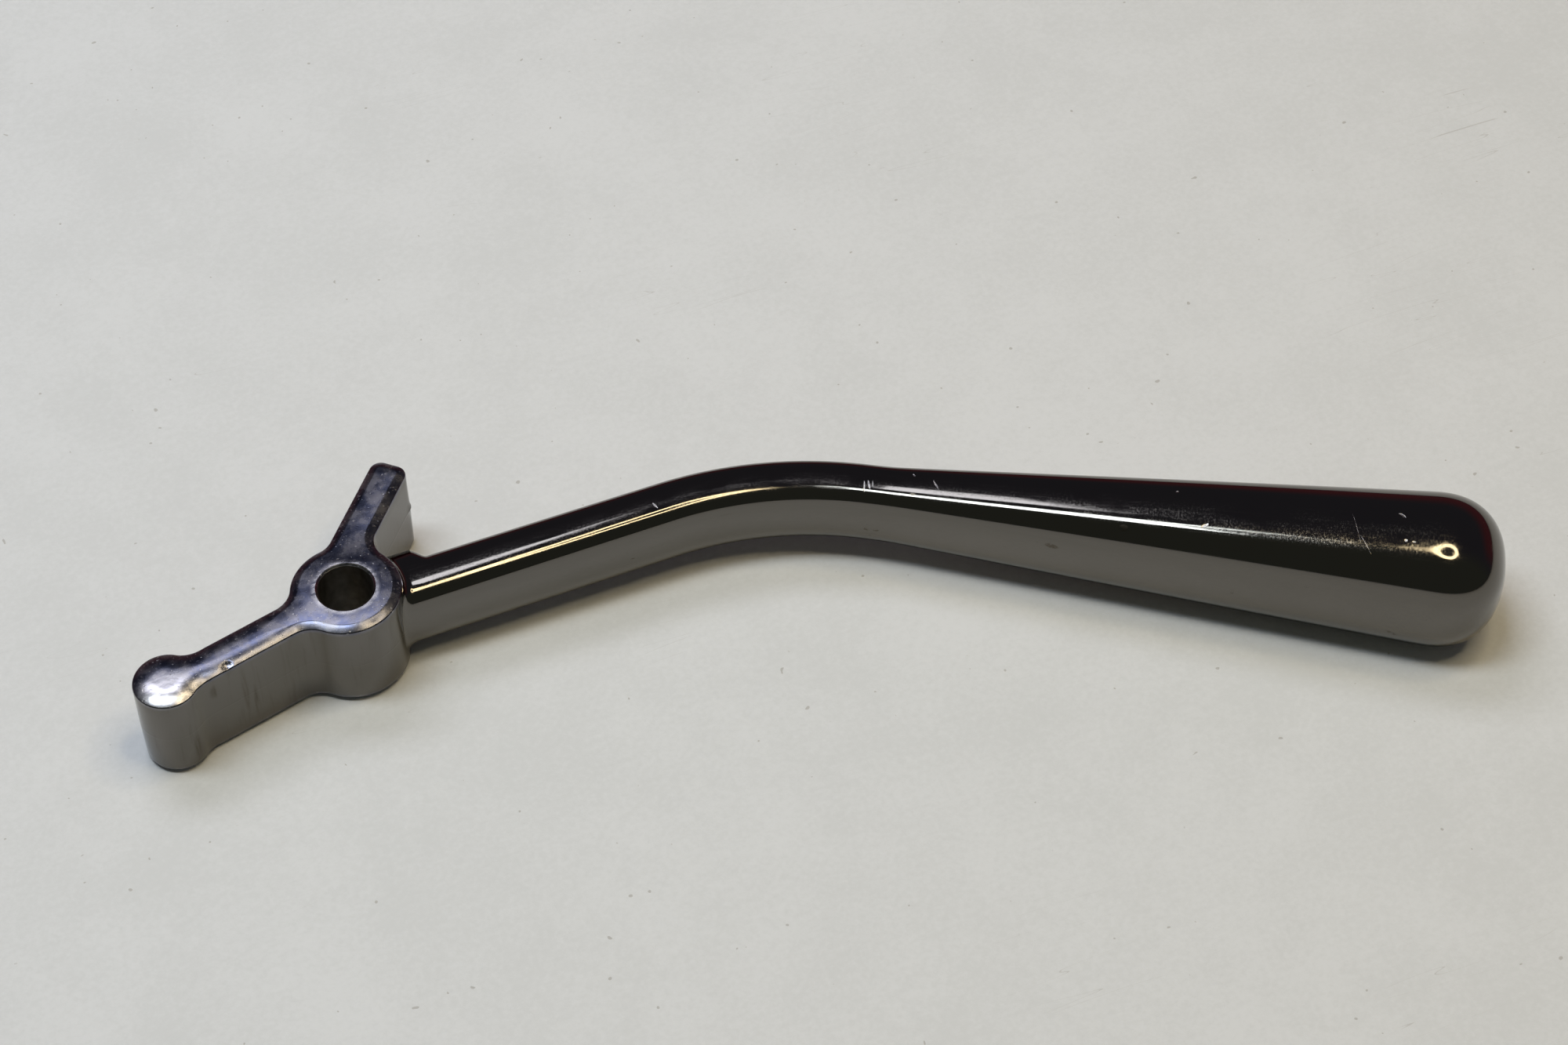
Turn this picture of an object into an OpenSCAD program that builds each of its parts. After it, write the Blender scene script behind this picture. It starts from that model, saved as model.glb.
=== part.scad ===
// Crank handle: one metal casting. A short head carries the bore, a nosed
// arm and a plain arm, and a bent lever swells into the grip.
// Millimetres. The origin is on the bore axis, half way up the head. Z is
// the bore axis and the lever's straight shank runs along +X. All forms are
// symmetric about the plane z = 0, where the two halves of the mould meet.

/* [Head] */
// Thickness of the head along the bore
head_t = 16.2; // [14:0.1:20]
// Outer diameter of the hub around the bore
hub_d = 16; // [14:0.1:20]
// Diameter of the bore
bore_d = 8; // [5:0.1:10]
// Chamfer at both mouths of the bore
bore_chamfer = 0.3; // [0.1:0.05:0.6]
// Radius of the narrow rounding between the head's walls and its bevels
edge_r = 0.3; // [0.1:0.05:0.5]
// Width of the bevel that buffing leaves along the edges of both faces
bevel_w = 1.1; // [0.4:0.1:1.2]
// Slope of that bevel, in degrees
bevel_deg = 22; // [10:1:30]
// Width of the bevel round the nose, which makes the nose's ends domed
dome_w = 2.1; // [0.4:0.1:2.3]
// Mould draft of the head's side walls, in degrees
draft_deg = 0.5; // [0:0.1:1.5]

/* [Nosed arm] */
// Angle from the shank to the nosed arm, in degrees
nose_angle = 193; // [170:0.5:215]
// Distance from the bore axis to the centre of the nose
nose_reach = 28.5; // [22:0.1:40]
// Diameter of the round nose
nose_d = 9.5; // [7:0.1:12]
// Offset of the nose to the left of its arm's centre line
nose_shift = -0.8; // [-1.5:0.1:1.5]
// Width of the nosed arm between its straight sides
nose_arm_w = 5.5; // [4:0.1:6.5]
// Radius of the fillets between the nosed arm and the hub
nose_hub_fillet = 4; // [2:0.1:6]
// Radius of the fillets between the nosed arm and its nose
nose_fillet = 4.5; // [2:0.1:6]

/* [Plain arm] */
// Angle from the shank to the plain arm, in degrees
plain_angle = 48.9; // [45:0.1:90]
// Distance from the bore axis to the end of the plain arm
plain_reach = 23.3; // [17:0.1:34]
// Width of the plain arm
plain_w = 5.65; // [4:0.05:6.5]
// Offset of the plain arm to the left of the bore axis
plain_shift = 2.7; // [0:0.1:3]
// Corner radius at the end of the plain arm
plain_corner_r = 1.8; // [1.4:0.1:1.9]
// Radius of the fillets between the plain arm and the hub
plain_fillet = 3.5; // [2:0.1:5]

/* [Lever] */
// Length of the straight shank, from the bore axis to the bend
shank_l = 48.5; // [35:0.5:70]
// Width of the shank where it leaves the hub
shank_w = 8.7; // [6:0.05:10]
// Height of the shank where it leaves the hub
shank_h = 11.9; // [8:0.05:13]
// Radius of the bend, on the centre line
bend_r = 54; // [40:0.5:90]
// Angle of the bend, in degrees
bend_deg = 31.2; // [10:0.1:40]
// Length along the lever of the fillet between the shank and the hub
root_l = 1.4; // [0.8:0.1:2]
// Width of that fillet on the hub, at the shank's sides
root_side = 0.6; // [0.3:0.1:1.2]
// Height of that fillet on the hub, above and below the shank
root_rise = 1.2; // [0.3:0.1:1.8]
// Extra width of the shank at the hub, on the side of the plain arm
heel_w = 2.4; // [0:0.1:2.8]
// Length of that heel, from the hub's wall to the middle of its sloping end
heel_l = 3.9; // [3.2:0.1:6]
// Length of the heel's sloping end
heel_end = 2.2; // [1:0.1:2.4]

/* [Grip] */
// Width of the lever at its neck, in the bend
neck_w = 8.15; // [6:0.05:10]
// Height of the lever at its neck
neck_h = 11.35; // [8:0.05:13]
// Distance along the centre line from the bore axis to where the grip starts
grip_start = 81.5; // [75:0.5:110]
// Length over which the grip's taper sets in
taper_in = 2; // [1:0.5:15]
// Distance along the centre line from the bore axis to the tip
lever_l = 171.1; // [150:0.1:210]
// Length of the rounded end
end_l = 11.5; // [6:0.5:20]
// Width of the grip where its rounded end starts
grip_w = 19.9; // [14:0.1:24]
// Height of the grip where its rounded end starts
grip_h = 21.35; // [16:0.05:26]
// Flatness of the shank's top and bottom: 2 is the crown of an ellipse
shank_crown = 3.5; // [1.8:0.05:4]
// Flatness of the shank's sides: 2 is the side of an ellipse
shank_square = 3; // [2:0.1:5]
// Flatness of the grip's top and bottom: 2 is the crown of an ellipse
grip_crown = 2.25; // [1.8:0.05:4]
// Flatness of the grip's sides: 2 is the side of an ellipse
grip_square = 3.1; // [2:0.1:5]
// Bluntness of the rounded end: 2 is an ellipse
end_blunt = 2.3; // [2:0.05:3]

/* [Hidden] */
hub_r = hub_d / 2;
grip_full = lever_l - end_l;      // where the rounded end starts
side_n = 11;                      // points to a quarter of the lever's section
root_in = 1.5;                    // how far the lever runs on inside the hub
finish = [0.30, 0.29, 0.30];      // dark nickel

function arc(c, r, a0, a1, n) =
    [for (i = [0 : n]) c + r * [cos(a0 + (a1 - a0) * i / n), sin(a0 + (a1 - a0) * i / n)]];
function turned(pts, a) =
    [for (p = pts) [p[0] * cos(a) - p[1] * sin(a), p[0] * sin(a) + p[1] * cos(a)]];

// ---- Head ----
// The head's outline is a chain of arcs that meet at tangents, so a chain
// moved inwards by "in" keeps every centre and changes only the radii.

// Centre of the fillet between the hub and a straight side at height y,
// on the side that "up" gives (1 above the arm, -1 below it)
function base_centre(y, up, f) =
    let (cy = y + up * f)
    [sqrt(pow(hub_r + f, 2) - cy * cy), cy];
function base_fillet(y, up, f, in) =
    let (c = base_centre(y, up, f), a = atan2(-c[1], -c[0]) + (up > 0 ? 360 : 0))
    up > 0 ? arc(c, f + in, 270, a, 6) : arc(c, f + in, a, 90, 6);

// The plain arm along +X, from the hub's fillet round its end and back
function plain_arm(in) =
    let (lo = plain_shift - plain_w / 2, hi = plain_shift + plain_w / 2,
         r = plain_corner_r, x = plain_reach - r)
    concat(
        base_fillet(lo, -1, plain_fillet, in),
        arc([x, lo + r], r - in, -90, 0, 5),
        arc([x, hi - r], r - in, 0, 90, 5),
        base_fillet(hi, 1, plain_fillet, in));

// The nosed arm along +X, from the hub's fillet round its nose and back
function nosed_arm(in) =
    let (lo = -nose_arm_w / 2, hi = nose_arm_w / 2, r = nose_d / 2, f = nose_fillet,
         n = [nose_reach, nose_shift],
         a = [n[0] - sqrt(pow(r + f, 2) - pow(lo - f - n[1], 2)), lo - f],
         b = [n[0] - sqrt(pow(r + f, 2) - pow(hi + f - n[1], 2)), hi + f],
         to_a = atan2(a[1] - n[1], a[0] - n[0]),
         to_b = atan2(b[1] - n[1], b[0] - n[0]),
         nose = arc(n, r - in, to_a, to_b, 28))
    concat(
        base_fillet(lo, -1, nose_hub_fillet, in),
        arc(a, f + in, 90, to_a + 180, 6),
        [for (i = [1 : len(nose) - 2]) nose[i]],
        arc(b, f + in, to_b - 180, -90, 6),
        base_fillet(hi, 1, nose_hub_fillet, in));

// Angle on the hub, measured from the arm, where such a fillet touches it
function touch(y, up, f) = let (c = base_centre(y, up, f)) atan2(c[1], c[0]);
plain_lo = plain_angle + touch(plain_shift - plain_w / 2, -1, plain_fillet);
plain_hi = plain_angle + touch(plain_shift + plain_w / 2, 1, plain_fillet);
nose_lo = nose_angle + touch(-nose_arm_w / 2, -1, nose_hub_fillet);
nose_hi = nose_angle + touch(nose_arm_w / 2, 1, nose_hub_fillet);

// The hub's own wall between two of those angles, without its end points
function hub_wall(a0, a1, in) =
    let (n = max(2, round((a1 - a0) / 6)), p = arc([0, 0], hub_r - in, a0, a1, n))
    [for (i = [1 : n - 1]) p[i]];

function outline(in) = concat(
    turned(plain_arm(in), plain_angle),
    hub_wall(plain_hi, nose_lo, in),
    turned(nosed_arm(in), nose_angle),
    hub_wall(nose_hi, plain_lo + 360, in));

// A flat face of the head: each arm is a ladder between its two sides, and
// the hub is a fan about the bore axis. "at" is the ring's first point.
function ladder(at, n) =
    [for (i = [0 : floor(n / 2) - 1]) let (j = n - 1 - i)
        i + 1 < j - 1 ? [at + i, at + i + 1, at + j - 1, at + j] : [at + i, at + i + 1, at + j]];
function rim(n_plain, n_wall, n_nosed, n_all) = concat(
    [0, n_plain - 1],
    [for (i = [0 : n_wall - 1]) n_plain + i],
    [n_plain + n_wall, n_plain + n_wall + n_nosed - 1],
    [for (i = [n_plain + n_wall + n_nosed : n_all - 1]) i]);

// Every point of the outline moves straight inwards, by its own amount
// where the bevel widens round the nose, so its inward step is enough.
foot = outline(0);
step = outline(1) - foot;
nose_at = turned([[nose_reach, nose_shift]], nose_angle)[0];
function near_nose(p) =
    let (v = min(max(1.6 - 1.9 * norm(p - nose_at) / nose_d, 0), 1)) v * v * (3 - 2 * v);
bevel = [for (p = foot) bevel_w + (dome_w - bevel_w) * near_nose(p)];

// A ring at the height z, inset by "in" and by the share u of the bevel
function head_ring(z, in, u) =
    [for (i = [0 : len(foot) - 1])
        let (p = foot[i] + step[i] * (in + u * bevel[i] + abs(z) * tan(draft_deg))) [p[0], p[1], z]];

bevel_h = bevel_w * tan(bevel_deg);
wall_z = head_t / 2 - bevel_h - edge_r * cos(bevel_deg);   // where the rounding starts

module head() {
    half = head_t / 2;
    corner = [for (i = [0 : 4]) i * (90 - bevel_deg) / 4];
    in = edge_r * (1 - sin(bevel_deg));
    // Height, inset and share of the bevel, from the walls to the top face
    up = concat(
        [for (t = corner) [wall_z + edge_r * sin(t), edge_r * (1 - cos(t)), 0]],
        [[half - bevel_h * 0.55, in, 0.4], [half, in, 1]]);
    levels = concat(
        [for (i = [len(up) - 1 : -1 : 0]) [-up[i][0], up[i][1], up[i][2]]],
        [[0, 0, 0]],
        up);
    rings = [for (l = levels) head_ring(l[0], l[1], l[2])];
    n = len(rings[0]);
    m = len(rings);
    n_plain = len(plain_arm(0));
    n_nosed = len(nosed_arm(0));
    n_wall = len(hub_wall(plain_hi, nose_lo, 0));
    top = (m - 1) * n;
    edge = rim(n_plain, n_wall, n_nosed, n);
    flat = concat(
        ladder(0, n_plain),
        ladder(n_plain + n_wall, n_nosed),
        [for (i = [0 : len(edge) - 1]) [n, edge[i], edge[(i + 1) % len(edge)]]]);
    top_faces = [for (f = flat) [for (i = [len(f) - 1 : -1 : 0])
        f[i] == n ? m * n + 1 : f[i] + top]];
    low_faces = [for (f = flat) [for (v = f) v == n ? m * n : v]];
    // The bevels twist where they widen, so their faces are triangles
    sides = [for (k = [0 : m - 2], i = [0 : n - 1])
        let (j = (i + 1) % n, a = k * n, b = a + n)
            each (k < 2 || k > m - 4
                ? [[a + i, b + i, b + j], [a + i, b + j, a + j]]
                : [[a + i, b + i, b + j, a + j]])];
    polyhedron(
        points = concat([for (r = rings) each r], [[0, 0, -half], [0, 0, half]]),
        faces = concat(low_faces, sides, top_faces),
        convexity = 6);
}

// ---- Lever and grip ----
// The lever is one loft. Its centre line lies in the parting plane: a
// straight shank, a bend to the right and a straight grip. Its section has
// flattened sides and is widest and highest on the centre line.

bend_len = bend_r * bend_deg * PI / 180;
function heading(s) = -min(max((s - shank_l) / bend_len, 0), 1) * bend_deg;
function centre(s) =
    let (h = heading(s), after = max(s - shank_l - bend_len, 0))
    [min(s, shank_l), -bend_r] + bend_r * [-sin(h), cos(h)] + after * [cos(h), sin(h)];

// 0 up to the start of the grip, then rising evenly to 1 at its rounded end
function rise(s) = let (u = s - grip_start, w = taper_in) (u + sqrt(u * u + w * w)) / 2;
function swell(s) = rise(s) / rise(grip_full);
function along(s, root, neck, grip) =
    root + (neck - root) * min(s / grip_start, 1) + (grip - neck) * swell(s);
function half_w(s) = along(s, shank_w, neck_w, grip_w) / 2;
function half_h(s) = along(s, shank_h, neck_h, grip_h) / 2;
function crown(s) = along(s, shank_crown, shank_crown, grip_crown);
function square(s) = along(s, shank_square, shank_square, grip_square);

// The heel stands out to the left beside the plain arm and ends in a soft step
function heel(s) =
    let (v = min(max((s - hub_r - heel_l) / heel_end + 0.5, 0), 1)) heel_w * (1 - v * v * (3 - 2 * v));

// Point of the section at angle t: [across, up]
function side(v, p) = sign(v) * pow(abs(v), 2 / p);
function section(s, t) = [
    (half_w(s) + (cos(t) > 0 ? heel(s) : 0)) * side(cos(t), crown(s)),
    half_h(s) * side(sin(t), square(s))];
function place(s, y, z) = let (c = centre(s), h = heading(s)) [c[0] - y * sin(h), c[1] + y * cos(h), z];

turns = [for (i = [0 : 4 * side_n - 1]) 90 * i / side_n];

// A ring on the fillet to the hub: it follows the hub's round wall at the
// distance d, with the section swollen by the fraction e of the fillet
root_up = max(min(root_rise, wall_z - shank_h / 2), 0.05);
function root_ring(d, e) =
    [for (t = turns) let (p = section(hub_r, t),
        y = p[0] * (1 + e * root_side / half_w(hub_r)),
        z = p[1] * (1 + e * root_up / half_h(hub_r)))
        place(sqrt(max(hub_r * hub_r - y * y, 0)) + d, y, z)];
function shank_ring(s, k) =
    [for (t = turns) let (p = section(s, t)) place(s, k * p[0], k * p[1])];

module lever() {
    steps = 27;
    rings = concat(
        [root_ring(-root_in, 1)],
        [for (t = [0 : 15 : 90]) root_ring(root_l * (1 - cos(t)), 1 - sin(t))],
        [for (i = [0 : 8]) shank_ring(hub_r + heel_l + heel_end * (i / 8 - 0.5), 1)],
        [for (i = [0 : steps]) shank_ring(shank_l + (grip_full - shank_l) * i / steps, 1)],
        [for (t = [9 : 8.5 : 85.5]) shank_ring(grip_full + end_l * side(sin(t), end_blunt),
            side(cos(t), end_blunt))]);
    n = len(turns);
    m = len(rings);
    sides = [for (k = [0 : m - 2], i = [0 : n - 1]) let (j = (i + 1) % n, a = k * n, b = a + n)
        each [[a + i, b + i, b + j], [a + i, b + j, a + j]]];
    foot = [for (i = [0 : n - 1]) [m * n, i, (i + 1) % n]];
    tip = [for (i = [0 : n - 1]) [m * n + 1, (m - 1) * n + (i + 1) % n, (m - 1) * n + i]];
    polyhedron(
        points = concat([for (r = rings) each r], [place(hub_r - 2 * root_in, 0, 0), place(lever_l, 0, 0)]),
        faces = concat(foot, sides, tip),
        convexity = 6);
}

module bore() {
    cylinder(h = head_t + 2, d = bore_d, center = true, $fn = 96);
    for (m = [0, 1]) mirror([0, 0, m])
        translate([0, 0, head_t / 2 - bore_chamfer])
            cylinder(h = 2 * bore_chamfer, d1 = bore_d, d2 = bore_d + 4 * bore_chamfer, $fn = 96);
}

module crank_handle() {
    color(finish) difference() {
        union() {
            head();
            lever();
        }
        bore();
    }
}

crank_handle();
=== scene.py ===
"""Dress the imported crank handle: a smooth plated skin over its solid, a floor, lamps and a camera.

The handle is one casting, so it is one piece. Its skin follows the solid's rules in finer steps,
because a polished surface shows every facet.
"""

import logging
from dataclasses import dataclass, field
from enum import Enum
from math import atan2, cos, degrees, hypot, pi, radians, sin, sqrt, tan
from typing import Any, Dict, List, Optional, Sequence, Tuple, Union

import bmesh
import bpy
import numpy as np
from bmesh.types import BMesh, BMVert
from bpy.types import ID, Material, Mesh, Node, NodeSocket, NodeTree, Object
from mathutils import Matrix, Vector
from mathutils.geometry import delaunay_2d_cdt


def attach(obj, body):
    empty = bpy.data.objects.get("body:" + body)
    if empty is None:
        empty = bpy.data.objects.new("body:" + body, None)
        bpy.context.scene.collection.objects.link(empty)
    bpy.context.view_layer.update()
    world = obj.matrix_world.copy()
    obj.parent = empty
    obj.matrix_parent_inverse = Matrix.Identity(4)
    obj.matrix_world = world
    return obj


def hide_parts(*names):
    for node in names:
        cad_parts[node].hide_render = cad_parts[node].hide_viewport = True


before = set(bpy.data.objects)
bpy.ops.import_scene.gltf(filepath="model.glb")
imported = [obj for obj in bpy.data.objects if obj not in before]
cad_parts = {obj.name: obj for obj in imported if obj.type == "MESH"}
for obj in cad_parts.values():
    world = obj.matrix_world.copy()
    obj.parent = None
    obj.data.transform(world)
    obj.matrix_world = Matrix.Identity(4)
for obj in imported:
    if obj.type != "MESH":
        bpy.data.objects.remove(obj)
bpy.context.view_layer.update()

LOG = logging.getLogger("crank_handle")
MM = 0.001
Pair = Tuple[float, float]
Triple = Tuple[float, float, float]
Colour = Triple
Soft = Pair  # where a mask is a half, and half the width over which it rises


class Side(Enum):
    """Which way a fillet turns at the foot of an arm."""

    BELOW = -1
    ABOVE = 1


# --- Shader maths


class Wire:
    """A socket of a node tree that can be used in arithmetic."""

    def __init__(self, tree: "Tree", socket: NodeSocket) -> None:
        """Wrap an output socket of a node tree."""
        self.tree = tree
        self.socket = socket

    def _math(self, operation: str, *values: "Term") -> "Wire":
        """Add a Math node for one or two values, and give its result."""
        return self.tree.wire("ShaderNodeMath", {"operation": operation}, dict(enumerate(values)))

    def __add__(self, other: "Term") -> "Wire":
        """Add a value."""
        return self._math("ADD", self, other)

    __radd__ = __add__

    def __sub__(self, other: "Term") -> "Wire":
        """Take a value away."""
        return self._math("SUBTRACT", self, other)

    def __rsub__(self, other: "Term") -> "Wire":
        """Take this from a value."""
        return self._math("SUBTRACT", other, self)

    def __mul__(self, other: "Term") -> "Wire":
        """Multiply by a value."""
        return self._math("MULTIPLY", self, other)

    __rmul__ = __mul__

    def __truediv__(self, other: "Term") -> "Wire":
        """Divide by a value."""
        return self._math("DIVIDE", self, other)

    def __pow__(self, other: "Term") -> "Wire":
        """Raise to a power."""
        return self._math("POWER", self, other)

    def absolute(self) -> "Wire":
        """Give the value without its sign."""
        return self._math("ABSOLUTE", self)

    def above(self, edge: float, soft: float) -> "Wire":
        """Give a mask that rises smoothly from 0 to 1: a half at edge, over soft on each side."""
        values = {"Value": self, "From Min": edge - soft, "From Max": edge + soft}
        return self.tree.wire("ShaderNodeMapRange", {"interpolation_type": "SMOOTHSTEP"}, values)

    def below(self, edge: float, soft: float) -> "Wire":
        """Give the mask that is 1 where above() is 0."""
        return 1.0 - self.above(edge, soft)


Term = Union[Wire, float, int, Sequence[float], Sequence[Wire]]


@dataclass(frozen=True)
class Noise:
    """A noise texture: its sizes, its stretch on each axis and, for a mask, where it rises."""

    scale: float
    detail: float = 2.0
    rough: float = 0.5
    stretch: Optional[Triple] = None
    rise: Optional[Soft] = None


class Tree:
    """A node tree, with one method that adds a node."""

    def __init__(self, tree: NodeTree) -> None:
        """Wrap a node tree."""
        self.tree = tree

    def node(self, kind: str, settings: Dict[str, Any], values: Dict[Any, Term]) -> Node:
        """Add a node and link or set its inputs.

        Args:
            kind: the node's type.
            settings: the node's own settings, set before its sockets.
            values: a value or a wire for each input, by name or number.

        Returns:
            The node.
        """
        node = self.tree.nodes.new(kind)
        for name, value in settings.items():
            setattr(node, name, value)
        self.fill(node, values)
        return node

    def fill(self, node: Node, values: Dict[Any, Term]) -> None:
        """Link or set inputs of a node, by name or number."""
        for name, value in values.items():
            self.join(node.inputs[name], value)

    def wire(self, kind: str, settings: Dict[str, Any], values: Dict[Any, Term], out: Any = 0) -> Wire:
        """Add a node and give one of its outputs, by name or number."""
        return Wire(self, self.node(kind, settings, values).outputs[out])

    def join(self, socket: NodeSocket, value: Term) -> None:
        """Set a socket's value, or link a wire or several wires to it.

        Args:
            socket: the input socket.
            value: the value; a colour of three numbers becomes opaque.
        """
        if isinstance(value, Wire):
            self.tree.links.new(value.socket, socket)
        elif isinstance(value, (int, float)):
            socket.default_value = value
        elif isinstance(value[0], Wire):
            for wire in value:
                self.tree.links.new(wire.socket, socket)
        else:
            short = len(socket.default_value) - len(value)
            socket.default_value = (*value, *([1.0] * short))

    def noise(self, where: Wire, noise: Noise) -> Wire:
        """Add a noise texture.

        Args:
            where: its coordinates.
            noise: its sizes.

        Returns:
            Its value, about 0.5 on average, or its mask.
        """
        if noise.stretch:
            where = self.stretch(where, noise.stretch)
        values = {"Vector": where, "Scale": noise.scale, "Detail": noise.detail, "Roughness": noise.rough}
        value = self.wire("ShaderNodeTexNoise", {}, values)
        return value.above(*noise.rise) if noise.rise else value

    def blend(self, amount: Term, low: Term, high: Term) -> Wire:
        """Mix two colours: the low one at 0, the high one at 1."""
        return self.wire("ShaderNodeMix", {"data_type": "RGBA"}, {0: amount, 6: low, 7: high}, 2)

    def stretch(self, where: Wire, scale: Sequence[float]) -> Wire:
        """Scale coordinates by a different amount on each axis."""
        return self.wire("ShaderNodeMapping", {}, {"Vector": where, "Scale": scale})

    def axis(self, where: Wire, number: int) -> Wire:
        """Give one axis of some coordinates."""
        return self.wire("ShaderNodeSeparateXYZ", {}, {0: where}, number)

    def place(self) -> Wire:
        """Give the object's own coordinates in millimetres."""
        return self.stretch(self.wire("ShaderNodeTexCoord", {}, {}, "Object"), (1 / MM, 1 / MM, 1 / MM))


def start_material(name: str) -> Tuple[Material, Tree, Node]:
    """Make a material, and give it with its tree and its shader."""
    material = bpy.data.materials.new(name)
    material.use_nodes = True
    return material, Tree(material.node_tree), material.node_tree.nodes["Principled BSDF"]


def put(name: str, data: ID) -> Object:
    """Make an object from its data and put it in the scene."""
    made = bpy.data.objects.new(name, data)
    bpy.context.scene.collection.objects.link(made)
    return made


# --- Finishes


@dataclass(frozen=True)
class Mark:
    """A small oval mark on the lever, placed along it and round it, where 9.4 is the top."""

    along: float
    round_at: float
    length: float
    width: float
    turn_deg: float


@dataclass(frozen=True)
class Stain:
    """A patch on the head, by its centre and half sizes."""

    centre: Triple
    reach: Triple


@dataclass(frozen=True)
class Effect:
    """How strongly something acts on the colour, the roughness and the height in millimetres."""

    colour: float = 0.0
    rough: float = 0.0
    height: float = 0.0


@dataclass(frozen=True)
class DarkPlating:
    """Dark nickel plating over the casting, mirror-bright on the lever and dulled by buffing on the head,
    where the faces' colour also carries a painted bluish reflection of the ceiling.
    """

    name: str = "dark_plating"
    bright: Colour = (0.152, 0.143, 0.130)
    # The two face tints: the buffing's dull finish with a painted bluish reflection of the dark ceiling,
    # mixed at random.
    painted_ceiling_navy: Colour = (0.077, 0.085, 0.132)
    painted_ceiling_haze: Colour = (0.170, 0.166, 0.188)
    worn: Colour = (0.50, 0.485, 0.50)
    # The lighter colour of rubbed plating, which on the nose also paints a highlight.
    stained: Colour = (0.085, 0.072, 0.055)
    bore: Colour = (0.46, 0.44, 0.41)
    lever_roughness: float = 0.05
    wall_roughness: float = 0.13
    face_roughness: float = 0.26
    bore_roughness: float = 0.42

    clouds: Noise = Noise(0.38, 4.0, 0.62)
    smears: Noise = Noise(0.9, 4.0, 0.65, (0.5, 1.6, 0.5))
    tooth: Noise = Noise(5.0, 3.0, 0.6)
    pits: Noise = Noise(2.6, 1.0, rise=(0.71, 0.03))
    streaks: Noise = Noise(1.0, 3.0, 0.6, (0.05, 2.6, 1.0), (0.60, 0.12))
    scuffs: Noise = Noise(6.0, 3.0, 0.75, (0.9, 1.4, 1.0), (0.54, 0.10))
    patches: Noise = Noise(1.0, 2.0, 0.5, (0.16, 0.45, 1.0))
    drips: Noise = Noise(0.9, 3.0, 0.6, (1.4, 1.4, 0.12))
    gaps: Noise = Noise(2.0, rise=(0.42, 0.1))
    specks: Noise = Noise(3.6, 3.0, 0.7, rise=(0.55, 0.12))

    face_from: Soft = (7.2, 0.5)
    rim_to: Soft = (7.85, 0.15)
    bore_to: Soft = (0.03, 0.03)
    mouth_from: Soft = (0.15, 0.1)
    mouth_to: Soft = (0.70, 0.45)
    ridge_from: Soft = (9.2, 1.2)
    ridge_to: Soft = (12.6, 0.9)
    # Edge of the nose patch: rubbed wear with a painted highlight.
    nose_wear_and_highlight_to: Soft = (0.72, 0.34)
    spot_to: Soft = (0.75, 0.45)
    # Where the face tint turns from the darker to the lighter painted ceiling reflection.
    painted_ceiling_haze_from: Soft = (0.50, 0.16)
    smeared_from: Soft = (0.45, 0.2)
    nose_wear_and_highlight_from: Soft = (0.46, 0.16)
    bright_from: Soft = (0.40, 0.12)
    dripped_from: Soft = (0.62, 0.10)
    scuff_patch_from: Soft = (0.45, 0.12)
    speck_patch_from: Soft = (0.44, 0.12)

    cloud: Effect = Effect(rough=0.34, height=0.012)
    smear: Effect = Effect(rough=0.16, height=0.002)
    grain: Effect = Effect(height=0.0012)
    pit: Effect = Effect(colour=0.6, height=-0.02)
    bright_mark: Effect = Effect(colour=0.7, rough=0.35 * 0.7, height=-0.03 * 0.7)
    dull_mark: Effect = Effect(colour=0.8, rough=0.2)
    smoke: Effect = Effect(colour=0.75, rough=0.15)
    drip: Effect = Effect(colour=0.25, height=0.02)
    streak: Effect = Effect(rough=0.05)
    scuff: Effect = Effect(rough=0.05)
    speck: Effect = Effect(rough=0.13)
    patch: Effect = Effect(height=0.004)
    seam: Effect = Effect(height=0.02)
    seam_w: float = 0.16
    # The nose patch's share of the light colour: rubbed wear with a painted highlight.
    nose_wear_and_highlight_mix: Pair = (0.45, 0.55)
    rim_rub: Pair = (0.05, 0.15)
    bright_marks: Tuple[Mark, ...] = (
        Mark(78.0, 11.1, 0.9, 0.16, 80.0),
        Mark(78.7, 10.8, 0.8, 0.14, 75.0),
        Mark(79.2, 10.6, 0.6, 0.12, 80.0),
        Mark(88.3, 9.7, 1.0, 0.12, 60.0),
        Mark(85.0, 8.2, 0.35, 0.16, 40.0),
        Mark(122.9, 8.0, 0.3, 0.14, 0.0),
        Mark(127.5, 11.9, 0.5, 0.16, -20.0),
        Mark(148.8, 10.5, 1.6, 0.028, 63.0),
        Mark(150.3, 12.1, 1.1, 0.026, 42.0),
        Mark(155.1, 9.0, 0.6, 0.12, 25.0),
        Mark(155.8, 11.45, 0.26, 0.13, 0.0),
        Mark(156.9, 11.5, 0.3, 0.08, 0.0),
        Mark(46.2, 10.6, 0.6, 0.16, 70.0),
    )
    dull_marks: Tuple[Mark, ...] = (
        Mark(85.2, 11.6, 0.45, 0.25, 0.0),
        Mark(116.0, 13.0, 0.8, 0.4, 0.0),
        Mark(41.4, -17.9, 0.5, 0.2, 30.0),
        Mark(106.0, 16.7, 1.1, 0.45, 10.0),
        Mark(78.8, -17.1, 0.6, 0.35, 30.0),
        Mark(80.3, -17.1, 0.5, 0.3, -20.0),
        Mark(155.8, -16.5, 0.8, 0.22, 15.0),
    )
    stains: Tuple[Stain, ...] = (
        Stain((-17.6, -6.8, 1.5), (0.55, 1.5, 5.5)),
        Stain((-16.2, -6.4, -2.5), (0.5, 1.5, 4.0)),
        Stain((-26.0, -10.2, -3.5), (0.6, 2.2, 3.2)),
        Stain((-22.0, -8.0, 4.5), (0.9, 1.8, 1.6)),
    )

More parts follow.
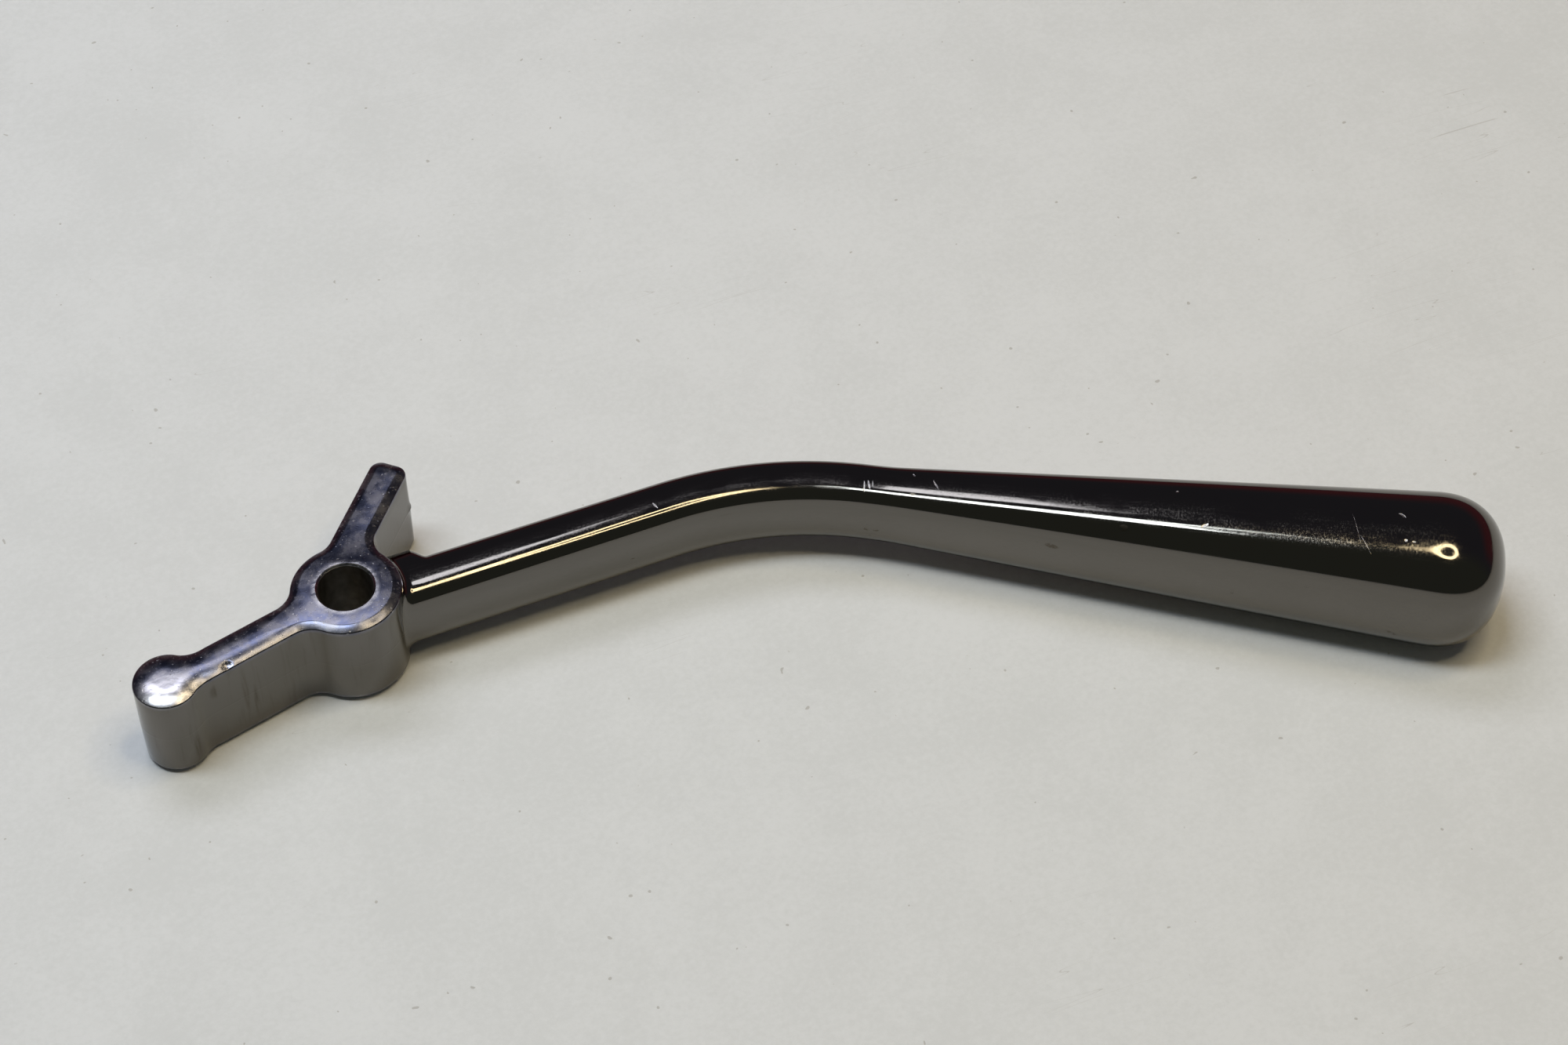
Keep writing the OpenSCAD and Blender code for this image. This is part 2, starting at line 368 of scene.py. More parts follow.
    def _spots(self, tree: Tree, grain: Wire, marks: Sequence[Mark]) -> Wire:
        """Add up the marks of one kind.

        Args:
            tree: the material's tree.
            grain: the coordinates along and round the lever.
            marks: the marks.

        Returns:
            Their mask.
        """
        along, round_at = tree.axis(grain, 0), tree.axis(grain, 1)
        total: Term = 0.0
        for mark in marks:
            c, v = cos(radians(mark.turn_deg)), sin(radians(mark.turn_deg))
            p = (along - mark.along) * c + (round_at - mark.round_at) * v
            q = (round_at - mark.round_at) * c - (along - mark.along) * v
            total = ((p / mark.length) ** 2.0 + (q / mark.width) ** 2.0).below(*self.spot_to) + total
        return total

    @staticmethod
    def _far_from(tree: Tree, place: Wire, patch: Stain) -> Wire:
        """Measure how far a point lies from a patch's centre, where 1 is the patch's edge."""
        off = tree.wire("ShaderNodeVectorMath", {"operation": "SUBTRACT"}, {0: place, 1: patch.centre})
        off = tree.wire("ShaderNodeVectorMath", {"operation": "DIVIDE"}, {0: off, 1: patch.reach})
        return tree.wire("ShaderNodeVectorMath", {"operation": "LENGTH"}, {0: off}, "Value")

    def make(self, head: "HeadForm") -> Material:
        """Build the material.

        Args:
            head: the head's sizes.

        Returns:
            The material.
        """
        material, tree, shader = start_material(self.name)
        place = tree.place()
        x, y, z = (tree.axis(place, number) for number in range(3))
        grain = tree.wire("ShaderNodeAttribute", {"attribute_name": "grain"}, {}, "Vector")
        lever = tree.wire("ShaderNodeAttribute", {"attribute_name": "lever"}, {}, "Fac")
        face = z.absolute().above(*self.face_from) * (1 - lever)
        wall = (1 - face) * (1 - lever)
        past_bore = (x * x + y * y) ** 0.5 - head.bore_d / 2
        bore = past_bore.below(*self.bore_to)

        clouds, smears, drips = (tree.noise(place, n) for n in (self.clouds, self.smears, self.drips))
        tooth, patches = tree.noise(place, self.tooth), tree.noise(grain, self.patches)
        pits = tree.noise(place, self.pits) * face
        bright = self._spots(tree, grain, self.bright_marks) * lever * tooth.above(*self.bright_from)
        dull = self._spots(tree, grain, self.dull_marks) * lever * tree.noise(place, self.gaps)
        stains = sum(self._far_from(tree, place, stain).below(*self.spot_to) for stain in self.stains)
        smoke = stains * drips.above(*self.smeared_from) * wall
        across = tree.axis(grain, 1).absolute()
        ridge = across.above(*self.ridge_from) * across.below(*self.ridge_to) * lever
        scuffs = tree.noise(grain, self.scuffs) * patches.above(*self.scuff_patch_from) * ridge
        specks = tree.noise(grain, self.specks) * patches.above(*self.speck_patch_from) * ridge
        streaks = tree.noise(grain, self.streaks) * lever

        smeared = smears.above(*self.smeared_from)
        mouth = past_bore.above(*self.mouth_from) * past_bore.below(*self.mouth_to)
        # Painted highlight: the nose's lighter patch lies toward the camera, where the lamps' reflection
        # falls, on top of rubbed wear.
        nose = self._far_from(tree, place, head.nose_wear_and_highlight()).below(*self.nose_wear_and_highlight_to)
        wear_and_nose_highlight = mouth * smeared + nose * (self.nose_wear_and_highlight_mix[0] + self.nose_wear_and_highlight_mix[1] * smears.above(*self.nose_wear_and_highlight_from))
        wear_and_nose_highlight = wear_and_nose_highlight + z.absolute().below(*self.rim_to) * (self.rim_rub[0] + self.rim_rub[1] * smeared)
        wear_and_nose_highlight = face * wear_and_nose_highlight + pits * self.pit.colour + bright * self.bright_mark.colour
        dirt = dull * self.dull_mark.colour + smoke * self.smoke.colour
        # Head faces: a painted bluish ceiling reflection over the buffing's finish, mixed at random by the
        # clouds.
        buffed_with_painted_ceiling = tree.blend(clouds.above(*self.painted_ceiling_haze_from), self.painted_ceiling_navy, self.painted_ceiling_haze)
        base = tree.blend(wear_and_nose_highlight, tree.blend(face, self.bright, buffed_with_painted_ceiling), self.worn)
        base = tree.blend(dirt, base, self.stained)
        base = tree.blend(wall * drips.above(*self.dripped_from) * self.drip.colour, base, self.stained)
        base = tree.blend(bore, base, tree.blend(smears, self.stained, self.bore))

        rough = lever * (self.lever_roughness - self.wall_roughness) + self.wall_roughness
        rough = rough + face * (self.face_roughness - self.wall_roughness)
        rough = rough + face * ((clouds - 0.5) * self.cloud.rough + (smears - 0.5) * self.smear.rough)
        seam = tree.wire("ShaderNodeMath", {"operation": "EXPONENT"}, {0: 0.0 - (z / self.seam_w) ** 2.0})
        height = face * clouds * self.cloud.height + (1 - face) * smears * self.smear.height
        worn = (
            (face * tooth, self.grain),
            (pits, self.pit),
            (bright, self.bright_mark),
            (dull, self.dull_mark),
            (smoke, self.smoke),
            (bore * drips, self.drip),
            (streaks, self.streak),
            (scuffs, self.scuff),
            (specks, self.speck),
            (patches * lever, self.patch),
            (seam * wall * clouds, self.seam),
        )
        for mask, effect in worn:
            rough = rough + mask * effect.rough if effect.rough else rough
            height = height + mask * effect.height if effect.height else height
        values = {"Value": bore, "To Min": rough, "To Max": self.bore_roughness}
        rough = tree.wire("ShaderNodeMapRange", {}, values)
        bump = tree.wire("ShaderNodeBump", {}, {"Strength": 1.0, "Distance": MM, "Height": height})
        tree.fill(shader, {"Base Color": base, "Roughness": rough, "Normal": bump, "Metallic": 1.0})
        return material


@dataclass(frozen=True)
class PaleTable:
    """The pale board that the handle lies on, with a fine tooth and a few specks."""

    name: str = "pale_table"
    light: Colour = (0.805, 0.818, 0.835)
    shade: Colour = (0.75, 0.763, 0.775)
    speck: Colour = (0.42, 0.40, 0.37)

    tooth: Noise = Noise(1.1, 4.0, 0.7)
    mottle: Noise = Noise(0.05, 5.0, 0.65)
    specks: Noise = Noise(0.9, 0.0, rise=(0.872, 0.012))
    hairs: Noise = Noise(1.0, 1.0, 0.5, (0.02, 0.35, 0.1))
    hair_patches: Noise = Noise(0.03, 1.0, rise=(0.62, 0.02))
    light_from: Soft = (0.5, 0.14)
    hair_to: Soft = (0.0012, 0.0008)
    speck_depth: float = 0.6
    hair_depth: float = 0.35
    tooth_height: float = 0.05
    bump_strength: float = 0.5
    roughness: float = 0.6
    specular: float = 0.25

    def make(self) -> Material:
        """Build the material."""
        material, tree, shader = start_material(self.name)
        place = tree.place()
        tooth = tree.noise(place, self.tooth)
        shades = tree.noise(place, self.mottle) * 0.5 + tooth * 0.5
        base = tree.blend(shades.above(*self.light_from), self.shade, self.light)
        specks = tree.noise(place, self.specks)
        hairs = (tree.noise(place, self.hairs) - 0.5).absolute().below(*self.hair_to)
        hairs = hairs * tree.noise(place, self.hair_patches)
        base = tree.blend(specks * self.speck_depth + hairs * self.hair_depth, base, self.speck)
        values = {"Strength": self.bump_strength, "Distance": MM, "Height": tooth * self.tooth_height}
        bump = tree.wire("ShaderNodeBump", {}, values)
        tree.fill(shader, {"Base Color": base, "Normal": bump, "Roughness": self.roughness})
        tree.fill(shader, {"Specular IOR Level": self.specular})
        return material


# --- The casting's form, in millimetres


def eased(value: Any) -> Any:
    """Ease a value or an array from 0 to 1."""
    t = np.clip(value, 0, 1)
    return t * t * (3 - 2 * t)


@dataclass
class Edge:
    """A run of outline points with their outward normals."""

    points: np.ndarray
    normals: np.ndarray

    def turned(self, angle: float) -> "Edge":
        """Turn the run about the bore axis."""
        a = radians(angle)
        turn = np.array([[cos(a), sin(a)], [-sin(a), cos(a)]])
        return Edge(self.points @ turn, self.normals @ turn)


Arm = Tuple[List[Edge], float, float]  # an arm's runs and the two angles where they leave the hub


@dataclass
class HeadForm:
    """The head: a hub with a bore, a nosed arm and a plain arm, all of one thickness."""

    head_t: float = 16.2
    hub_d: float = 16.0
    bore_d: float = 8.0
    bore_chamfer: float = 0.3
    edge_r: float = 0.3
    bevel_w: float = 1.15
    bevel_deg: float = 22.0
    bevel_curve: float = 1.3
    arm_bevel_w: float = 2.3
    arm_curve: float = 2.1
    dome_w: float = 3.2
    dome_drop: float = 0.3
    dome_curve: float = 1.9
    draft_deg: float = 0.5
    nose_angle: float = 193.0
    nose_reach: float = 28.5
    nose_d: float = 9.5
    nose_shift: float = -0.8
    nose_arm_w: float = 5.5
    nose_hub_fillet: float = 4.0
    nose_fillet: float = 4.5
    plain_angle: float = 48.9
    plain_reach: float = 23.3
    plain_w: float = 5.65
    plain_shift: float = 2.7
    plain_corner_r: float = 1.8
    plain_fillet: float = 3.5
    flash: float = 0.14
    flash_flat: float = 0.1
    flash_ease: float = 0.8
    flash_h: float = 0.28
    flash_reach: Pair = (2.4, 1.2)
    nick: Triple = (-19.5, -6.75, 7.8)
    nick_r: float = 0.75
    nick_depth: float = 0.38
    nick_curve: float = 0.6
    nick_way: Triple = (0.15, 0.75, -0.64)
    burr: Triple = (0.75, 0.22, 0.0)
    burr_r: float = 0.45
    burr_h: float = 0.152
    nose_fade: Pair = (1.6, 1.9)
    arm_fade: Pair = (9.0, 5.0)
    # The nose patch: shifted toward the camera, so it holds a painted highlight as well as rubbed wear.
    wear_and_highlight_shift: Pair = (-0.6, -1.9)
    wear_and_highlight_reach: Triple = (5.0, 3.6, 3.0)
    step: float = 0.22
    wall_rings: int = 5
    corner_rings: int = 6
    bevel_rings: int = 12
    bevel_crowd: float = 0.8

    def _arc(self, centre: Sequence[float], r: float, a0: float, a1: float) -> Edge:
        """Lay points along an arc, which bulges out of the head if it turns counter-clockwise.

        Args:
            centre: its centre.
            r: its radius.
            a0: the angle where it starts, in degrees.
            a1: the angle where it ends.

        Returns:
            The run of points.
        """
        count = max(3, int(abs(radians(a1 - a0)) * r / self.step))
        angles = np.radians(np.linspace(a0, a1, count + 1))
        way = np.stack([np.cos(angles), np.sin(angles)], 1)
        return Edge(np.asarray(centre) + r * way, way * np.sign(a1 - a0))

    def _foot(self, y: float, side: Side, f: float) -> Tuple[Edge, float]:
        """Make the fillet between the hub and a straight side of an arm along +X.

        Args:
            y: the height of the side.
            side: whether the fillet lies above or below it.
            f: its radius.

        Returns:
            Its run and the angle where it touches the hub.
        """
        cy = y + side.value * f
        cx = sqrt((self.hub_d / 2 + f) ** 2 - cy * cy)
        touch = degrees(atan2(cy, cx))
        turn = (270, touch + 180) if side is Side.ABOVE else (touch + 180, 90)
        return self._arc((cx, cy), f, *turn), touch

    def _arm(self, sides: Pair, f: float, end: List[Edge], angle: float) -> Arm:
        """Join an arm's end to the hub and turn the arm to its angle.

        Args:
            sides: the heights of its lower and its upper side, along +X.
            f: the radius of the fillets at the hub.
            end: the runs of its end.
            angle: its angle, in degrees.

        Returns:
            Its runs and angles.
        """
        foot_lo, a_lo = self._foot(sides[0], Side.BELOW, f)
        foot_hi, a_hi = self._foot(sides[1], Side.ABOVE, f)
        return [run.turned(angle) for run in (foot_lo, *end, foot_hi)], a_lo, a_hi

    def _plain_arm(self) -> Arm:
        """Make the plain arm, with two rounded corners."""
        lo, hi = self.plain_shift - self.plain_w / 2, self.plain_shift + self.plain_w / 2
        r = self.plain_corner_r
        x = self.plain_reach - r
        low, high = (self._arc((x, y), r, a, a + 90) for y, a in ((lo + r, -90), (hi - r, 0)))
        return self._arm((lo, hi), self.plain_fillet, [low, high], self.plain_angle)

    def _nosed_arm(self) -> Arm:
        """Make the nosed arm, with the nose's arc between two fillets."""
        half, r, f = self.nose_arm_w / 2, self.nose_d / 2, self.nose_fillet
        nx, ny = self.nose_reach, self.nose_shift
        ax = nx - sqrt((r + f) ** 2 - (-half - f - ny) ** 2)
        bx = nx - sqrt((r + f) ** 2 - (half + f - ny) ** 2)
        to_a = degrees(atan2(-half - f - ny, ax - nx))
        to_b = degrees(atan2(half + f - ny, bx - nx))
        end = [
            self._arc((ax, -half - f), f, 90, to_a + 180),
            self._arc((nx, ny), r, to_a, to_b),
            self._arc((bx, half + f), f, to_b - 180, -90),
        ]
        return self._arm((-half, half), self.nose_hub_fillet, end, self.nose_angle)

    def _nose(self) -> Tuple[np.ndarray, np.ndarray]:
        """Give the nosed arm's direction and the nose's centre."""
        a = radians(self.nose_angle)
        way = np.array([cos(a), sin(a)])
        return way, way * self.nose_reach + np.array([-way[1], way[0]]) * self.nose_shift

    def nose_wear_and_highlight(self) -> Stain:
        """Give the lighter patch on the nose's near side: partly plating rubbed bright by use, partly a
        painted highlight where the lamps' reflection falls.
        """
        return Stain((*(self._nose()[1] + self.wear_and_highlight_shift), self.head_t / 2), self.wear_and_highlight_reach)

    def wall_top(self) -> float:
        """Give the height where the walls end and the rounding starts."""
        slope = radians(self.bevel_deg)
        return self.head_t / 2 - self.bevel_w * tan(slope) - self.edge_r * cos(slope)

    def outline(self) -> Edge:
        """Join the runs of the arms and the hub into one closed outline.

        Returns:
            Evenly spaced points, counter-clockwise, with their outward normals.
        """
        plain, p_lo, p_hi = self._plain_arm()
        nosed, n_lo, n_hi = self._nosed_arm()
        r = self.hub_d / 2
        runs = [
            *plain,
            self._arc((0, 0), r, self.plain_angle + p_hi, self.nose_angle + n_lo),
            *nosed,
            self._arc((0, 0), r, self.nose_angle + n_hi, self.plain_angle + p_lo + 360),
        ]
        points: List[np.ndarray] = []
        normals: List[np.ndarray] = []
        for run, after in zip(runs, runs[1:] + runs[:1]):
            gap = after.points[0] - run.points[-1]
            count = max(1, int(np.linalg.norm(gap) / (2 * self.step)))
            points += [run.points, run.points[-1] + gap * np.arange(1, count)[:, None] / count]
            normals += [run.normals, np.repeat(run.normals[-1:], count - 1, 0)]
        p, n = np.concatenate(points), np.concatenate(normals)
        keep = np.linalg.norm(p - np.roll(p, 1, 0), axis=1) > 1e-4
        return Edge(p[keep], n[keep])

    def _along_arm(self, points: np.ndarray) -> Tuple[np.ndarray, np.ndarray]:
        """Tell how far points belong to the nose and to the nosed arm.

        Args:
            points: the points, in the plane of the head.

        Returns:
            Two weights between 0 and 1 for each point.
        """
        way, nose = self._nose()
        away = np.linalg.norm(points - nose, axis=1) / self.nose_d
        near = self.nose_fade[0] - self.nose_fade[1] * away
        return eased(near), eased((points @ way - self.arm_fade[0]) / self.arm_fade[1])

    def rings(self) -> List[np.ndarray]:
        """Stack the outline into rings, from the bottom face to the top face.

        Returns:
            The points of each ring.
        """
        edge = self.outline()
        half = self.head_t / 2
        nose, arm = self._along_arm(edge.points)
        width = self.bevel_w + arm * (self.arm_bevel_w - self.bevel_w)
        width = width + nose * (self.dome_w - width)
        curve = self.bevel_curve + arm * (self.arm_curve - self.bevel_curve)
        curve = curve + nose * (self.dome_curve - curve)
        slope = radians(self.bevel_deg)
        height = self.bevel_w * tan(slope) + nose * self.dome_drop
        top = half - height - self.edge_r * cos(slope)
        draft = tan(radians(self.draft_deg))
        a = radians(self.plain_angle)
        end = edge.points @ (cos(a), sin(a)) - self.plain_reach + self.flash_reach[0]
        ridge = -self.flash * np.clip(end / self.flash_reach[1], 0, 1)
        profile = [(0.0, ridge), (self.flash_flat, self.flash_ease * ridge), (self.flash_h, 0 * width)]
        profile += [(top * share, 0 * width) for share in np.linspace(0, 1, self.wall_rings)[1:-1]]
        for t in np.radians(np.linspace(0, 90 - self.bevel_deg, self.corner_rings)):
            profile.append((top + self.edge_r * sin(t), self.edge_r * (1 - cos(t)) + 0 * width))
        start = self.edge_r * (1 - sin(slope))
        for u in np.linspace(0, 1, self.bevel_rings + 1)[1:] ** self.bevel_crowd:
            profile.append((half - height * (1 - u) ** curve, start + width * u))
        upper: List[np.ndarray] = []
        for z, inset in profile:
            flat = edge.points - edge.normals * (inset + z * draft)[:, None]
            upper.append(np.column_stack([flat, z + 0 * width]))
        lower = [ring * (1, 1, -1) for ring in upper[:0:-1]]
        return lower + upper


@dataclass
class LeverForm:
    """The lever: a straight shank, a bend to the right and a straight grip, in one loft."""

    widths: Triple = (8.7, 8.15, 19.9)
    heights: Triple = (11.9, 11.35, 21.35)
    crowns: Triple = (3.5, 3.5, 2.25)
    squares: Triple = (3.0, 3.0, 3.1)
    shank_l: float = 48.5
    bend_r: float = 54.0
    bend_deg: float = 31.2
    root_l: float = 1.4
    root_side: float = 0.6
    root_rise: float = 1.2
    root_in: float = 1.5
    heel_w: float = 2.4
    heel_l: float = 3.9
    heel_end: float = 2.2
    grip_start: float = 81.5
    taper_in: float = 2.0
    lever_l: float = 171.1
    end_l: float = 11.5
    end_blunt: float = 2.3
    hub_r: float = 8.0
    points: int = 176
    root_rings: int = 16
    heel_rings: int = 21
    shank_step: float = 4.0
    bend_step: float = 0.6
    swell_l: float = 14.0
    grip_step: float = 2.5
    lead_l: float = 5.0
    lead_rings: int = 9
    end_rings: int = 36

    def __post_init__(self) -> None:
        """Work out the lengths that follow from the sizes."""
        self.bend_len = self.bend_r * radians(self.bend_deg)
        self.grip_full = self.lever_l - self.end_l
        self.turns = np.arange(self.points) * 2 * pi / self.points

    def heading(self, s: float) -> float:
        """Give the centre line's direction at a distance along it, in radians."""
        return -min(max((s - self.shank_l) / self.bend_len, 0), 1) * radians(self.bend_deg)

    def centre(self, s: float) -> np.ndarray:
        """Give the point of the centre line at a distance along it."""
        h = self.heading(s)
        after = max(s - self.shank_l - self.bend_len, 0)
        x = min(s, self.shank_l) - self.bend_r * sin(h) + after * cos(h)
        y = -self.bend_r + self.bend_r * cos(h) + after * sin(h)
        return np.array([x, y])

    def _rise(self, s: float) -> float:
        """Give 0 before the grip and a steady rise along it, with a soft start."""
        u = s - self.grip_start
        return (u + hypot(u, self.taper_in)) / 2

    def _along(self, s: float, sizes: Triple) -> float:
        """Carry a size from the root through the neck to the full grip."""
        root, neck, grip = sizes
        swell = self._rise(s) / self._rise(self.grip_full)
        return root + (neck - root) * min(s / self.grip_start, 1) + (grip - neck) * swell

    def _heel(self, s: float) -> float:
        """Give the extra width on the plain arm's side at a distance along the lever."""
        return self.heel_w * (1 - eased((s - self.hub_r - self.heel_l) / self.heel_end + 0.5))

    def section(self, s: float) -> np.ndarray:
        """Give the section at a distance along the lever, as points across and up."""
        sizes = (self.widths, self.heights, self.crowns, self.squares)
        w, h, crown, square = (self._along(s, each) for each in sizes)
        c, v = np.cos(self.turns), np.sin(self.turns)
        across = np.sign(c) * np.abs(c) ** (2 / crown) * (w / 2 + np.where(c > 0, self._heel(s), 0))
        return np.column_stack([across, np.sign(v) * np.abs(v) ** (2 / square) * h / 2])

    def _place(self, s: np.ndarray, flat: np.ndarray) -> np.ndarray:
        """Put section points on the centre line.

        Args:
            s: the distance along the lever of each point.
            flat: the points, across and up.

        Returns:
            Their places.
        """
        out = np.empty((len(flat), 3))
        for i, (at, (across, up)) in enumerate(zip(s, flat)):
            h, c = self.heading(at), self.centre(at)
            out[i] = (c[0] - across * sin(h), c[1] + across * cos(h), up)
        return out

    def _root_ring(self, d: float, e: float, head: HeadForm) -> np.ndarray:
        """Make a ring on the fillet to the hub.

        Args:
            d: its distance from the hub's wall.
            e: its share of the fillet's width and height.
            head: the head's sizes.

        Returns:
            The ring.
        """
        flat = self.section(self.hub_r)
        w, h = self.widths[0] / 2, self.heights[0] / 2
        rise = min(self.root_rise, head.wall_top() - h)
        flat = flat * (1 + e * self.root_side / w, 1 + e * rise / h)
        s = np.sqrt(np.maximum(self.hub_r**2 - flat[:, 0] ** 2, 0)) + d
        return self._place(s, flat)

    def _ring(self, s: float, scale: float = 1.0) -> np.ndarray:
        """Make a plain ring at a distance along the lever."""
        flat = self.section(s) * scale
        return self._place(np.full(len(flat), s), flat)

    def rings(self, head: HeadForm) -> List[np.ndarray]:
        """Make the loft's rings, from inside the hub to the end of the grip.

        Args:
            head: the head's sizes.

        Returns:
            The points of each ring.
        """
        rings = [self._root_ring(-self.root_in, 1, head)]
        for t in np.radians(np.linspace(0, 90, self.root_rings)):
            rings.append(self._root_ring(self.root_l * (1 - cos(t)), 1 - sin(t), head))
        start = self.hub_r + self.heel_l
        bend_to, lead = self.grip_start + self.swell_l, self.grip_full - self.lead_l
        stations = list(start + self.heel_end * np.linspace(-0.5, 0.5, self.heel_rings))
        stations += list(np.arange(start + self.heel_end, self.shank_l - 1, self.shank_step))
        stations += list(np.arange(self.shank_l, bend_to, self.bend_step))
        stations += list(np.arange(bend_to, lead - 1, self.grip_step))
        stations += list(np.linspace(lead, self.grip_full, self.lead_rings))
        rings += [self._ring(s) for s in stations]
        for t in np.radians(np.linspace(0, 90, self.end_rings + 1)[1:-1]):
            s = self.grip_full + self.end_l * sin(t) ** (2 / self.end_blunt)
            rings.append(self._ring(s, cos(t) ** (2 / self.end_blunt)))
        return rings


# --- The casting's skin


def plane_up(feet: np.ndarray) -> np.ndarray:
    """Give the upward normal of the plane through three points."""
    normal = np.cross(feet[1] - feet[0], feet[2] - feet[0])
    return normal / np.linalg.norm(normal) * np.sign(normal[2])


@dataclass
class CastHandle:
    """The one piece of the handle: its skin, built from the forms and dressed in plating."""

    head: HeadForm = field(default_factory=HeadForm)
    lever: LeverForm = field(default_factory=LeverForm)
    finish: DarkPlating = DarkPlating()
    name: str = "crank_handle_skin"
    node: str = "crank_handle"
    slot: str = "plating"
    crease_deg: float = 32.0
    bore_sides: int = 256
    stations: int = 700
    batch: int = 20000
    grain_r: float = 6.0
    lever_r: float = 8.05
    lever_blend: float = 0.8
    lever_s: float = 5.0
    lever_half: float = 11.0
    arm_gap: float = 0.35
    foot_z: float = -6.0
    head_reach: float = 34.0
    nose_spread: float = 14.0
    arm_spread: float = 25.0
    arm_y: float = 8.0
    grip_x: float = 100.0
    foot_rounds: int = 20

    @staticmethod
    def _cap(mesh: BMesh, row: Sequence[BMVert]) -> None:
        """Close a flat ring with a net of triangles.

        Args:
            mesh: the mesh that holds the ring.
            row: the ring's points, in order.
        """
        edges = [(i, (i + 1) % len(row)) for i in range(len(row))]
        points = [Vector(v.co[:2]) for v in row]
        verts, _, faces, origin, _, _ = delaunay_2d_cdt(points, edges, [], 1, 1e-9)
        height = row[0].co.z
        made = [row[old[0]] if old else mesh.verts.new((*co, height)) for co, old in zip(verts, origin)]
        for face in faces:
            mesh.faces.new([made[i] for i in face])

    def _loft(self, name: str, rings: Sequence[np.ndarray], tips: Sequence[Optional[Vector]]) -> Object:
        """Make a closed mesh through rings of points.

        Args:
            name: the object's name.
            rings: the rings, all with as many points.
            tips: the points that close its two ends, or None for a flat end.

        Returns:
            The object.
        """
        mesh = bmesh.new()
        rows = [[mesh.verts.new(Vector(p) * MM) for p in ring] for ring in rings]
        n = len(rows[0])
        for low, high in zip(rows, rows[1:]):
            for i in range(n):
                j = (i + 1) % n
                mesh.faces.new((low[i], low[j], high[j], high[i]))
        for row, tip in zip((rows[0], rows[-1]), tips):
            if tip is None:
                self._cap(mesh, row)
            else:
                point = mesh.verts.new(tip * MM)
                for i in range(n):
                    mesh.faces.new((row[i], row[(i + 1) % n], point))
        bmesh.ops.recalc_face_normals(mesh, faces=mesh.faces)
        if mesh.calc_volume(signed=True) < 0:
            bmesh.ops.reverse_faces(mesh, faces=mesh.faces)
        data = bpy.data.meshes.new(name)
        mesh.to_mesh(data)
        mesh.free()
        return put(name, data)

    def _joining_tree(self) -> NodeTree:
        """Build the tree that joins the lever to the head and cuts the bore.

        Returns:
            The tree, with a named input for each thing that it takes.
        """
        tree = bpy.data.node_groups.new("cast_and_bore", "GeometryNodeTree")
        kit = Tree(tree)
        inputs = {"Geometry": "Geometry", "Lever": "Object", "Finish": "Material"}
        inputs.update({name: "Float" for name in ("Bore Radius", "Bore Length", "Head Half", "Chamfer")})
        for name, kind in inputs.items():
            tree.interface.new_socket(name, in_out="INPUT", socket_type=f"NodeSocket{kind}")
        tree.interface.new_socket("Geometry", in_out="OUTPUT", socket_type="NodeSocketGeometry")
        part = {name: kit.wire("NodeGroupInput", {}, {}, name) for name in inputs}
        radius, chamfer = part["Bore Radius"], part["Chamfer"]
        lever = kit.wire("GeometryNodeObjectInfo", {}, {"Object": part["Lever"]}, "Geometry")
        sizes = {"Vertices": self.bore_sides, "Radius": radius, "Depth": part["Bore Length"]}
        bore = kit.wire("GeometryNodeMeshCylinder", {}, sizes, "Mesh")
        sizes = {"Vertices": self.bore_sides, "Radius Top": radius + chamfer * 2}
        sizes.update({"Radius Bottom": radius, "Depth": chamfer * 2})
        cone = kit.wire("GeometryNodeMeshCone", {}, sizes, "Mesh")
        lift = kit.wire("ShaderNodeCombineXYZ", {}, {"Z": part["Head Half"] - chamfer})
        top = kit.wire("GeometryNodeTransform", {}, {"Geometry": cone, "Translation": lift})
        bottom = kit.wire("GeometryNodeTransform", {}, {"Geometry": top, "Rotation": (pi, 0, 0)})
        exact = {"operation": "UNION", "solver": "EXACT"}
        whole = kit.wire("GeometryNodeMeshBoolean", exact, {"Mesh 2": [part["Geometry"], lever]})
        exact["operation"] = "DIFFERENCE"
        for tool in (bore, top, bottom):
            whole = kit.wire("GeometryNodeMeshBoolean", exact, {"Mesh 1": whole, "Mesh 2": tool})
        whole = kit.wire("GeometryNodeRealizeInstances", {}, {"Geometry": whole})
        whole = kit.wire("GeometryNodeSetMaterial", {}, {"Geometry": whole, "Material": part["Finish"]})
        kit.node("NodeGroupOutput", {}, {0: whole})
        return tree

    def _cast(self, head: Object, values: Dict[str, Any]) -> Mesh:
        """Run the joining tree on the head.

        Args:
            head: the head's object.
            values: the value of each named input of the tree.

        Returns:
            The joined and bored mesh.
        """
        tree = self._joining_tree()
        modifier = head.modifiers.new("cast", "NODES")
        modifier.node_group = tree
        for item in tree.interface.items_tree:
            if item.in_out == "INPUT" and item.name in values:
                modifier[item.identifier] = values[item.name]
        ready = head.evaluated_get(bpy.context.evaluated_depsgraph_get())
        mesh = bpy.data.meshes.new_from_object(ready)
        head.modifiers.remove(modifier)
        return mesh

